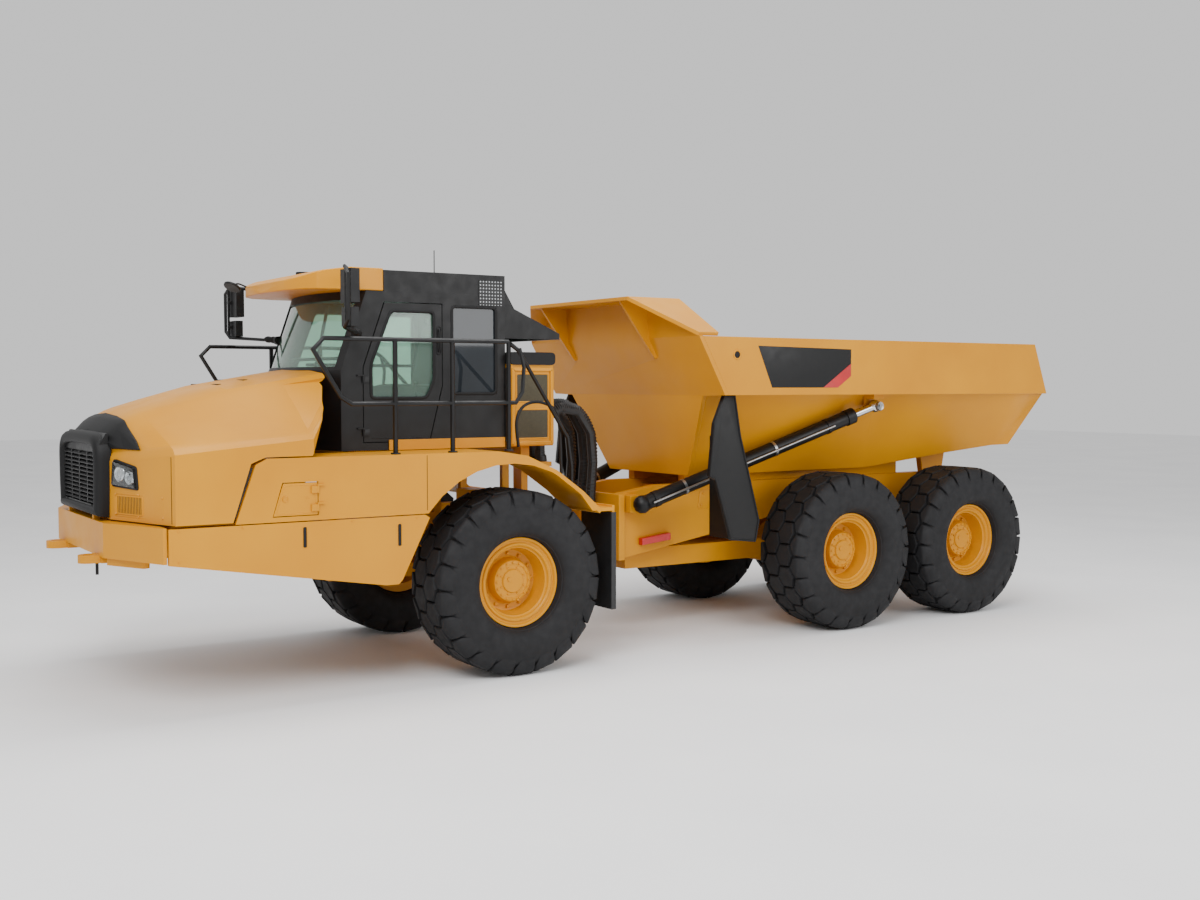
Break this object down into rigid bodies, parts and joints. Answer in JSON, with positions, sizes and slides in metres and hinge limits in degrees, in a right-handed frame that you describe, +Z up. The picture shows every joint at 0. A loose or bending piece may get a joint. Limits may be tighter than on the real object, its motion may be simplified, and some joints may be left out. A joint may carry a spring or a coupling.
{
  "type": "articulated dump truck",
  "caption": "Articulated dump truck: hooded tractor with centred cab, steering hitch, and a rear frame whose tipping bed is raised by outboard cylinders.",
  "frame": {"origin": "on the ground, in the middle of the overall length and width", "axes": "+Z up, -Y forward towards the hood, +X to the truck's left"},
  "size_m": [3.42, 11.56, 4.22],
  "materials": {
    "yellow_paint": "semi-gloss machine enamel",
    "black_paint": "satin black enamel",
    "black_steel": "satin black enamel on round tube",
    "tyre_rubber": "dusty black rubber",
    "tinted_glass": "green tinted safety glass",
    "lamp_lens": "clear moulded lens",
    "chromed_rod": "hard chromed and polished",
    "red_paint": "gloss red enamel",
    "cab_trim": "textured moulded trim and woven seat cover",
    "engine_casting": "painted casting",
    "hose_rubber": "ribbed rubber hose"
  },
  "bodies": {
    "tractor": {"cab_interior": "cab_trim", "cab_roof": "yellow_paint", "cab_shell": "black_paint", "cooler_pack": "yellow_paint", "engine": "engine_casting", "front_axle": "yellow_paint", "front_bumper": "yellow_paint", "front_frame": "yellow_paint", "left_fender": "yellow_paint", "left_handrail": "black_steel", "left_mirror": "black_paint", "left_quarter_glass": "tinted_glass", "left_skirt": "yellow_paint", "rear_window": "tinted_glass", "right_fender": "yellow_paint", "right_handrail": "black_steel", "right_mirror": "black_paint", "right_side_glass": "tinted_glass", "right_skirt": "yellow_paint", "windshield": "tinted_glass"},
    "hood": {"hood": "yellow_paint", "grille": "black_paint", "left_headlamp": "lamp_lens", "right_headlamp": "lamp_lens"},
    "door": {"cab_door": "black_paint", "door_glass": "tinted_glass"},
    "hatch": {"side_hatch": "yellow_paint"},
    "hitch": {"hitch": "yellow_paint", "hitch_hoses": "hose_rubber"},
    "rear": {"rear_frame": "yellow_paint", "centre_axle": "yellow_paint", "rear_axle": "yellow_paint", "walking_beams": "yellow_paint", "articulation_lock": "red_paint"},
    "dump_bed": {"bed_floor": "yellow_paint", "bed_side_left": "yellow_paint", "bed_side_right": "yellow_paint", "bed_headboard": "yellow_paint"},
    "wheel_front_left": {"tyre_front_left": "tyre_rubber", "rim_front_left": "yellow_paint"},
    "wheel_front_right": {"tyre_front_right": "tyre_rubber", "rim_front_right": "yellow_paint"},
    "wheel_centre_left": {"tyre_centre_left": "tyre_rubber", "rim_centre_left": "yellow_paint"},
    "wheel_centre_right": {"tyre_centre_right": "tyre_rubber", "rim_centre_right": "yellow_paint"},
    "wheel_rear_left": {"tyre_rear_left": "tyre_rubber", "rim_rear_left": "yellow_paint"},
    "wheel_rear_right": {"tyre_rear_right": "tyre_rubber", "rim_rear_right": "yellow_paint"},
    "steer_left_barrel": {"steer_left_barrel": "black_steel"},
    "steer_left_rod": {"steer_left_rod": "chromed_rod"},
    "steer_right_barrel": {"steer_right_barrel": "black_steel"},
    "steer_right_rod": {"steer_right_rod": "chromed_rod"},
    "hoist_left_barrel": {"hoist_left_barrel": "black_steel"},
    "hoist_left_rod": {"hoist_left_rod": "chromed_rod"},
    "hoist_right_barrel": {"hoist_right_barrel": "black_steel"},
    "hoist_right_rod": {"hoist_right_rod": "chromed_rod"}
  },
  "joints": [
    {"name": "wheel_front_left_roll", "type": "hinge", "parent": "tractor", "child": "wheel_front_left", "pos_m": [1.34, -1.92, 0.9], "axis": [1, 0, 0], "continuous": true},
    {"name": "wheel_front_right_roll", "type": "hinge", "parent": "tractor", "child": "wheel_front_right", "pos_m": [-1.34, -1.92, 0.9], "axis": [1, 0, 0], "continuous": true},
    {"name": "wheel_centre_left_roll", "type": "hinge", "parent": "rear", "child": "wheel_centre_left", "pos_m": [1.34, 2.48, 0.9], "axis": [1, 0, 0], "continuous": true},
    {"name": "wheel_centre_right_roll", "type": "hinge", "parent": "rear", "child": "wheel_centre_right", "pos_m": [-1.34, 2.48, 0.9], "axis": [1, 0, 0], "continuous": true},
    {"name": "wheel_rear_left_roll", "type": "hinge", "parent": "rear", "child": "wheel_rear_left", "pos_m": [1.34, 4.49, 0.9], "axis": [1, 0, 0], "continuous": true},
    {"name": "wheel_rear_right_roll", "type": "hinge", "parent": "rear", "child": "wheel_rear_right", "pos_m": [-1.34, 4.49, 0.9], "axis": [1, 0, 0], "continuous": true},
    {"name": "hood_tilt", "type": "hinge", "parent": "tractor", "child": "hood", "pos_m": [0, -5.58, 1.69], "axis": [1, 0, 0], "range_deg": [0, 70]},
    {"name": "door_swing", "type": "hinge", "parent": "tractor", "child": "door", "pos_m": [0.9825, -3.26, 2.9], "axis": [0, 0, -1], "range_deg": [0, 45]},
    {"name": "hatch_swing", "type": "hinge", "parent": "tractor", "child": "hatch", "pos_m": [1.6625, -3.99, 1.82], "axis": [0, 0, 1], "range_deg": [0, 100]},
    {"name": "steer", "type": "hinge", "parent": "tractor", "child": "hitch", "pos_m": [0, -0.52, 1.15], "axis": [0, 0, 1], "range_deg": [-45, 45]},
    {"name": "oscillation", "type": "hinge", "parent": "hitch", "child": "rear", "pos_m": [0, -0.09, 1.15], "axis": [0, 1, 0], "range_deg": [-20, 20]},
    {"name": "bed_hoist", "type": "hinge", "parent": "rear", "child": "dump_bed", "pos_m": [0, 4.83, 1.5], "axis": [-1, 0, 0], "range_deg": [0, 70]},
    {"name": "steer_left_turn", "type": "hinge", "parent": "tractor", "child": "steer_left_barrel", "pos_m": [0.58, -1.47, 1.14], "axis": [0, 0, 1], "range_deg": [-4.77, 4.77]},
    {"name": "steer_left_stroke", "type": "slide", "parent": "steer_left_barrel", "child": "steer_left_rod", "axis": [-0.2327, 0.9725, 0], "range_m": [-0.25843, 0.25843]},
    {"name": "steer_right_turn", "type": "hinge", "parent": "tractor", "child": "steer_right_barrel", "pos_m": [-0.58, -1.47, 1.14], "axis": [0, 0, 1], "range_deg": [-4.77, 4.77]},
    {"name": "steer_right_stroke", "type": "slide", "parent": "steer_right_barrel", "child": "steer_right_rod", "axis": [0.2327, 0.9725, 0], "range_m": [-0.25843, 0.25843]},
    {"name": "hoist_left_turn", "type": "hinge", "parent": "rear", "child": "hoist_left_barrel", "pos_m": [0.8, 0.1, 1.5], "axis": [0.3857, -0.3827, 0.8395], "range_deg": [0, 5.1]},
    {"name": "hoist_left_stroke", "type": "slide", "parent": "hoist_left_barrel", "child": "hoist_left_rod", "axis": [0.1891, 0.9234, 0.3341], "range_m": [0, 2.36826]},
    {"name": "hoist_right_turn", "type": "hinge", "parent": "rear", "child": "hoist_right_barrel", "pos_m": [-0.8, 0.1, 1.5], "axis": [0.3857, 0.3827, -0.8395], "range_deg": [0, 5.1]},
    {"name": "hoist_right_stroke", "type": "slide", "parent": "hoist_right_barrel", "child": "hoist_right_rod", "axis": [-0.1891, 0.9234, 0.3341], "range_m": [0, 2.36826]}
  ],
  "couplings": [
    {"joint": "steer_left_turn", "follows": "steer", "ratio": 0.1015},
    {"joint": "steer_left_stroke", "follows": "steer", "m_per_rad": 0.3265},
    {"joint": "steer_right_turn", "follows": "steer", "ratio": 0.1015},
    {"joint": "steer_right_stroke", "follows": "steer", "m_per_rad": -0.3265},
    {"joint": "hoist_left_turn", "follows": "bed_hoist", "ratio": 0.072653},
    {"joint": "hoist_left_stroke", "follows": "bed_hoist", "m_per_rad": 1.9376},
    {"joint": "hoist_right_turn", "follows": "bed_hoist", "ratio": 0.072653},
    {"joint": "hoist_right_stroke", "follows": "bed_hoist", "m_per_rad": 1.9376}
  ]
}
